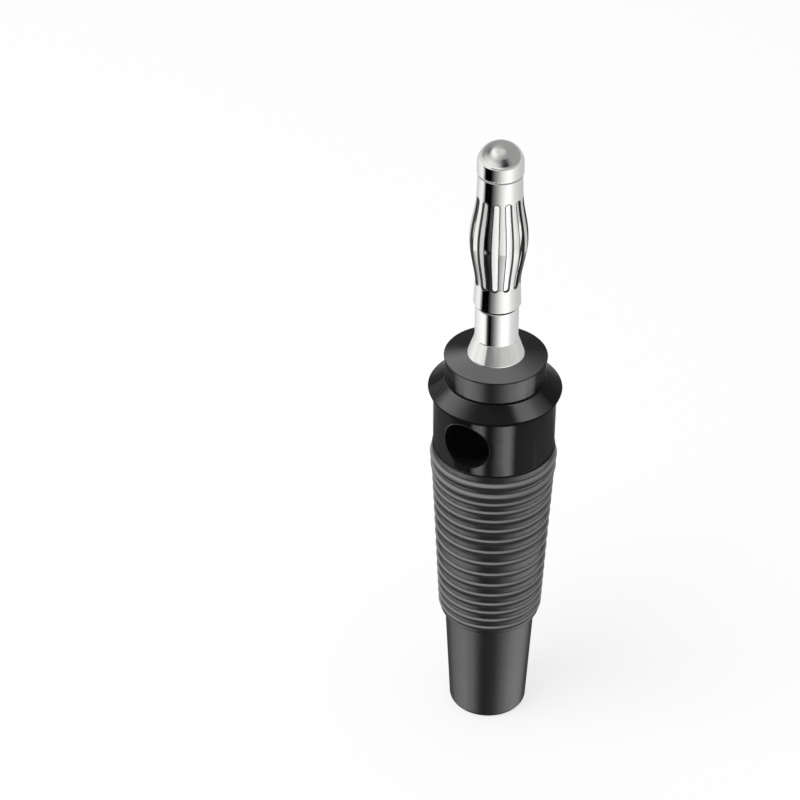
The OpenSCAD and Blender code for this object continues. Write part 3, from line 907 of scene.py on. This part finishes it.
# The dome sees a pale left side, a small dark card on the right and a soft bright panel overhead
level = ring(level, 2.5, 1.0, [
    (-180, 0.38), (-150, 0.3), (-120, 0.5), (-90, 0.9), (-70, 1.0), (-6, 0.95), (8, 0.7), (20, 0.45),
    (46, 0.38), (60, 0.36), (180, 0.38)])
level = ring(level, 11, 6, [
    (-180, 0.38), (-150, 0.3), (-120, 0.3), (-90, 0.7), (-60, 0.95), (-24, 0.8), (-4, 0.45),
    (8, 0.12), (18, 0.04), (34, 0.04), (48, 0.26), (62, 0.36), (180, 0.38)])
level = ring(level, 30, 14, [
    (-180, 0.38), (-150, 0.36), (-125, 0.18), (-105, 0.25), (-80, 0.65), (-50, 0.75), (-20, 0.5),
    (2, 0.25), (16, 0.07), (34, 0.08), (52, 0.3), (70, 0.36), (180, 0.38)])
level = ring(level, 50, 16, [
    (-180, 0.42), (-150, 0.55), (-120, 1.0), (-90, 1.1), (-55, 1.0), (-20, 0.6), (10, 0.42),
    (60, 0.36), (150, 0.36), (180, 0.42)])
level = ring(level, 74, 22, [(-180, 0.7), (180, 0.7)])
level = put(tree, "ShaderNodeVectorMath", {0: level, 3: RING_TOP}, operation="SCALE").outputs[0]

# %% Which rays see the rings
path = put(tree, "ShaderNodeLightPath").outputs
mirrored_rays = math_node(tree, "MAXIMUM", path["Is Glossy Ray"], path["Is Transmission Ray"])
even_sky = mixed_colour(tree, path["Is Camera Ray"], grey(EVEN_LEVEL), grey(1.0))
seen_sky = mixed_colour(tree, mirrored_rays, even_sky, level)
sky = put(tree, "ShaderNodeBackground", {"Color": seen_sky, "Strength": 1.0})
put(tree, "ShaderNodeOutputWorld", {"Surface": sky.outputs[0]})
print("rings:", sum(node.bl_idname == "ShaderNodeValToRGB" for node in tree.nodes))

# %% [markdown]
# ## Lamps and panels
# One soft key lamp draws the shadow. The mouldings are so dark that a card bright enough for them
# would burn out the nickel beside them. A photographer shades such a card from the rest of the
# object. Here light linking does that: each panel is a lamp that lights one piece, and its light
# changes along its width, as a soft box does towards its edge.

# %% Key lamp
AIM = Vector((0, 0, 0.036))


def soft_lamp(name, turn, rise, distance, size, radiance):
    """A rectangular lamp at degrees from the camera's side and above the horizon. Its power is
    radiance * pi * area."""
    lamp = bpy.data.lights.new(name, "AREA")
    lamp.shape, lamp.size, lamp.size_y = "RECTANGLE", *size
    lamp.energy = radiance * math.pi * size[0] * size[1]
    a, e = math.radians(turn + CAMERA_AZIMUTH), math.radians(rise)
    back = Vector((math.sin(a) * math.cos(e), -math.cos(a) * math.cos(e), math.sin(e)))
    lamp_object = add_object(name, lamp)
    lamp_object.location = AIM + back * distance
    lamp_object.rotation_mode = "QUATERNION"
    lamp_object.rotation_quaternion = back.to_track_quat("Z", "Y")
    return lamp_object


key = soft_lamp("key lamp", turn=-60, rise=58, distance=0.45, size=(0.3, 0.3), radiance=4.0)
key.visible_glossy = False
# In the glossy head the pin and the cage would show as white streaks, so mirrored rays miss them.
turned_contact.visible_glossy = spring_cage.visible_glossy = False
print("key lamp at", in_mm([key.location]))

# %% Panels for one piece
PANEL_TOP, PANEL_DISTANCE = 24.0, 0.3


def linked(name, *members):
    """A collection that lamps can be linked to."""
    group = bpy.data.collections.new(name)
    for member in members:
        group.objects.link(member)
    return group


only_grip, only_head = linked("lit grip", soft_grip), linked("lit head", hard_head)
only_pin, mouldings = linked("lit pin", turned_contact), linked("mouldings", soft_grip, hard_head)


def panel(name, lit, turn, rise, size, stops, distance=PANEL_DISTANCE, slant=0.0, fade=None,
          shaded_by=mouldings):
    """A lamp for one piece, whose light changes along its width: stops are pairs of the place from
    0 to 1 and the radiance there. A slant adds a share of the height to the place, and a fade dims the
    lower end between two heights. Only the pieces in shaded_by cast shadows in it."""
    lamp = soft_lamp(name, turn, rise, distance, size, PANEL_TOP)
    lamp.light_linking.receiver_collection = lit
    lamp.light_linking.blocker_collection = shaded_by
    lamp.data.use_nodes = True
    tree = lamp.data.node_tree
    emission = tree.nodes["Emission"].inputs
    parametric = put(tree, "ShaderNodeNewGeometry").outputs["Parametric"]
    place = put(tree, "ShaderNodeSeparateXYZ", {"Vector": parametric}).outputs
    raised = math_node(tree, "SUBTRACT", place["Y"], 0.5)
    along = math_node(tree, "MULTIPLY_ADD", raised, slant, place["X"])
    ramp = put(tree, "ShaderNodeValToRGB", {"Fac": along})
    fill_ramp(ramp, stops, PANEL_TOP)
    tree.links.new(ramp.outputs["Color"], emission["Color"])
    if fade:
        dimmed = put(tree, "ShaderNodeMapRange", {
            "Value": place["Y"], "From Min": fade[0], "From Max": fade[1]}, interpolation_type="SMOOTHSTEP")
        tree.links.new(dimmed.outputs[0], emission["Strength"])


# %% Arcs of panels
ARC_DISTANCE, WIDEST_PANEL, ARC_STOPS = 0.8, 30, 9


def panel_arc(name, lit, height, rise, stops, lift=0.0, narrow=1.0, shaded_by=mouldings):
    """A row of panels along an arc. Stops are pairs of degrees from the camera's side and radiance,
    joined by straight ramps; a place u on a panel lies atan((2u - 1) tan(half)) from its middle. The
    elevation is rise + lift * degrees^2. Tall panels overlap at their lower ends, so they are made
    narrower."""
    degrees, values = np.array(stops, float).T
    count = math.ceil((degrees[-1] - degrees[0]) / WIDEST_PANEL)
    borders = np.linspace(degrees[0], degrees[-1], count + 1)
    half = math.radians(borders[1] - borders[0]) / 2
    u = np.linspace(0, 1, ARC_STOPS)
    for number, turn in enumerate((borders[1:] + borders[:-1]) / 2):
        elevation = rise + lift * turn**2
        width = 2 * narrow * ARC_DISTANCE * math.cos(math.radians(elevation)) * math.tan(half)
        seen_at = turn + np.degrees(np.arctan((2 * u - 1) * math.tan(half)))
        profile = np.interp(seen_at, degrees, values)
        panel(f"{name} {number + 1}", lit, turn, elevation, (width, height),
              zip(u.tolist(), profile.tolist()), distance=ARC_DISTANCE, shaded_by=shaded_by)
    print(f"{name}: {count} lamps")


# %% Panels for the grip
panel_arc("grip left panel", only_grip, height=0.46, rise=-38, narrow=0.88, stops=[
    (-134, 0.0), (-120, 0.45), (-108, 0.8), (-96, 1.2), (-84, 2.6), (-72, 4.1), (-48, 4.4),
    (-36, 2.7), (-24, 0.6), (-16, 0.0)])
panel_arc("grip right panel", only_grip, height=0.46, rise=-38, narrow=0.88, stops=[
    (18, 0.0), (36, 1.5), (48, 2.4), (60, 3.1), (72, 3.2), (84, 2.8), (96, 2.2), (108, 1.5),
    (120, 0.8), (132, 0.2), (140, 0.0)])

# %% Panels for the head
# The collar leans outwards, so the places that it mirrors rise towards the sides.
panel_arc("neck panel", only_head, height=0.045, rise=-37.7, stops=[
    (-44, 0.0), (-38, 14.0), (-30, 19.6), (-22, 18.6), (-16, 5.2), (-12, 0.6), (-6, 0.6), (0, 3.4),
    (12, 14.4), (20, 22.4), (30, 23.2), (36, 10.8), (40, 2.0), (43, 0.0)])
panel_arc("collar panel", only_head, height=0.06, rise=-45.27, lift=0.00039, shaded_by=only_grip, stops=[
    (-112, 0.0), (-104, 2.0), (-96, 4.0), (-84, 8.0), (-72, 12.8), (-60, 15.6), (-48, 14.8),
    (-36, 11.6), (-24, 4.8), (-12, 1.8), (0, 3.2), (12, 6.4), (26, 11.2), (40, 15.2), (60, 16.0),
    (72, 13.2), (84, 8.4), (96, 4.4), (104, 2.0), (112, 0.0)])
panel("flange left panel", only_head, turn=-98, rise=52, size=(0.5, 0.27), fade=(0.08, 0.28), stops=[
    (0.03, 8.0), (0.14, 11.0), (0.23, 16.0), (0.31, 19.5), (0.38, 19.0), (0.44, 18.6), (0.5, 17.8),
    (0.55, 12.8), (0.59, 8.4), (0.63, 3.2), (0.67, 0.2), (0.69, 0.0)])
panel("flange edge panel", only_head, turn=-132, rise=24, size=(0.14, 0.1), stops=[(0.0, 1.0), (1.0, 2.4)])
panel("flange right panel", only_head, turn=92, rise=55, size=(0.44, 0.23), stops=[
    (0.32, 0.0), (0.345, 8.0), (0.36, 19.6), (0.385, 20.3), (0.435, 21.6), (0.49, 19.0),
    (0.55, 10.8), (0.62, 6.0), (0.7, 3.4), (0.785, 0.6), (0.8, 0.0)])
panel("collar top panel", only_head, turn=180, rise=43.5, size=(0.17, 0.155), slant=0.35,
      fade=(0.0, 0.4), stops=[
          (0.1, 2.5), (0.16, 4.4), (0.21, 5.8), (0.265, 8.6), (0.335, 11.0), (0.405, 13.0), (0.5, 14.2),
          (0.6, 14.2), (0.68, 13.2), (0.75, 12.4)])

# %% Panels for the core under the cage
panel_arc("core panel", only_pin, height=0.2, rise=-52, stops=[
    (-75, 0.0), (-60, 3.0), (-30, 6.0), (30, 6.0), (60, 5.0), (75, 0.0)])

# %% [markdown]
# ## Camera
# The camera looks down at the plug through a long lens, so its upright edges converge only a
# little. Its place was worked out from the plug's edges in the picture.

# %% Long lens
LENS_MM, SENSOR_MM = 120.0, 36.0
EYE, VIEW = (0.08555, -0.16302, 0.16562), Vector((-0.4081, 0.7013, -0.5845))

lens = bpy.data.cameras.new("camera")
lens.lens, lens.sensor_width = LENS_MM, SENSOR_MM
lens.clip_start, lens.clip_end = 0.01, 10.0
camera = add_object("camera", lens)
camera.location = EYE
camera.rotation_mode = "QUATERNION"
camera.rotation_quaternion = VIEW.to_track_quat("-Z", "Y")
bpy.context.scene.camera = camera
bpy.context.scene.view_settings.view_transform = "Standard"
print("camera looks down by", round(math.degrees(math.asin(-VIEW.z / VIEW.length)), 1), "degrees")
